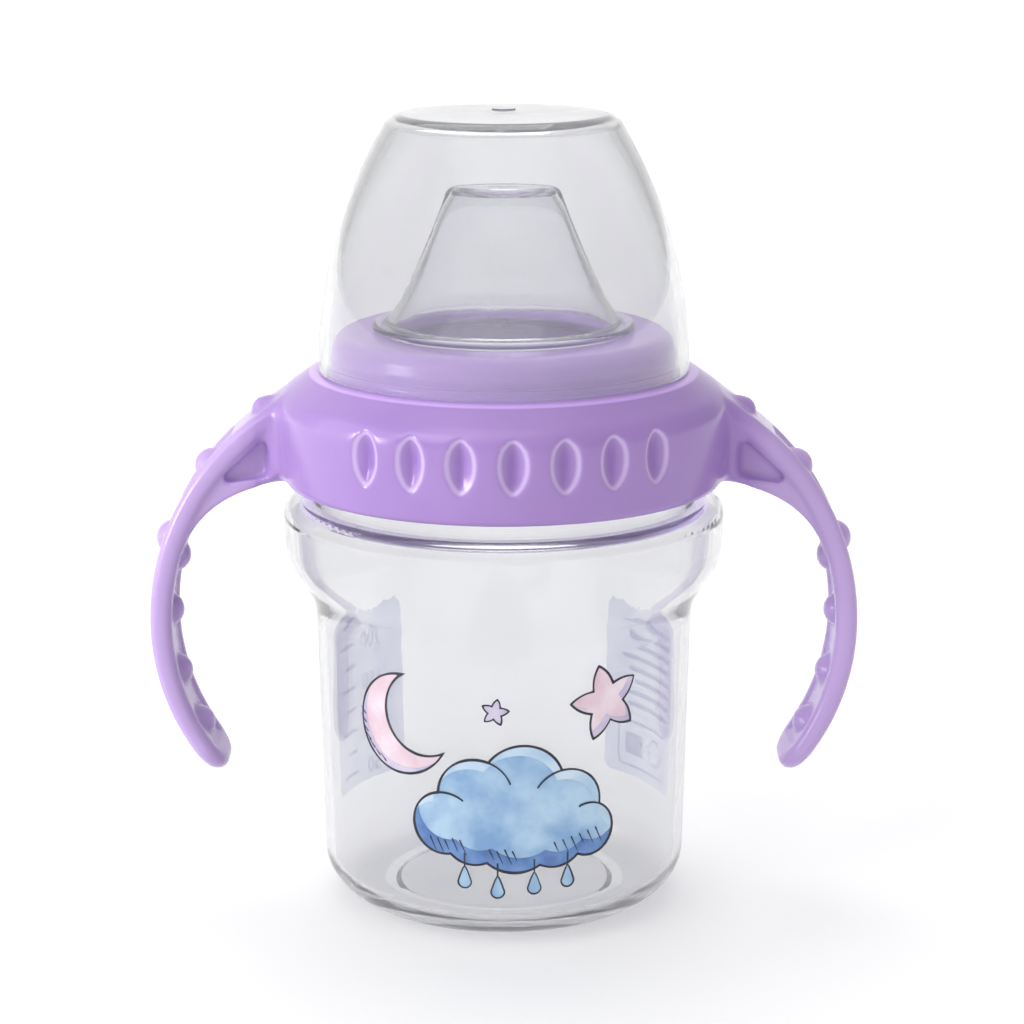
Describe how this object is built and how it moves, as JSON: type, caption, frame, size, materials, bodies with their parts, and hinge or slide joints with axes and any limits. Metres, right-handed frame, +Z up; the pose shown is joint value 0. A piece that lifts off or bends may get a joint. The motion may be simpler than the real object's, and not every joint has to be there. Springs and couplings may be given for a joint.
{
  "type": "sippy cup",
  "caption": "Clear toddler sippy cup with a lavender screw collar and open side handles, a soft clear spout and a push-fit clear hood.",
  "frame": {"origin": "centre of the bounding box's bottom face, on the cup's axis where it stands", "axes": "+Z up the cup's axis, X along the two handles, -Y towards the printed front"},
  "size_m": [0.1216, 0.0772, 0.1372],
  "materials": {
    "clear_plastic": "clear, polished polypropylene",
    "lavender_plastic": "opaque lavender polypropylene, glossy",
    "clear_silicone": "clear silicone, satin",
    "hood_plastic": "clear, polished plastic"
  },
  "bodies": {
    "cup": {"cup": "clear_plastic"},
    "spout": {"spout": "clear_silicone"},
    "collar": {"handle_collar": "lavender_plastic"},
    "hood": {"hood": "hood_plastic"}
  },
  "joints": [
    {"name": "lid_rise", "type": "slide", "parent": "cup", "child": "spout", "axis": [0, 0, 1], "range_m": [0, 0.01]},
    {"name": "collar_turn", "type": "hinge", "parent": "spout", "child": "collar", "pos_m": [0, 0, 0.0827], "axis": [0, 0, 1], "range_deg": [0, 720]},
    {"name": "hood_lift", "type": "slide", "parent": "collar", "child": "hood", "axis": [0, 0, 1], "range_m": [0, 0.045]}
  ],
  "couplings": [
    {"joint": "lid_rise", "follows": "collar_turn", "m_per_rad": 0.00079577}
  ]
}
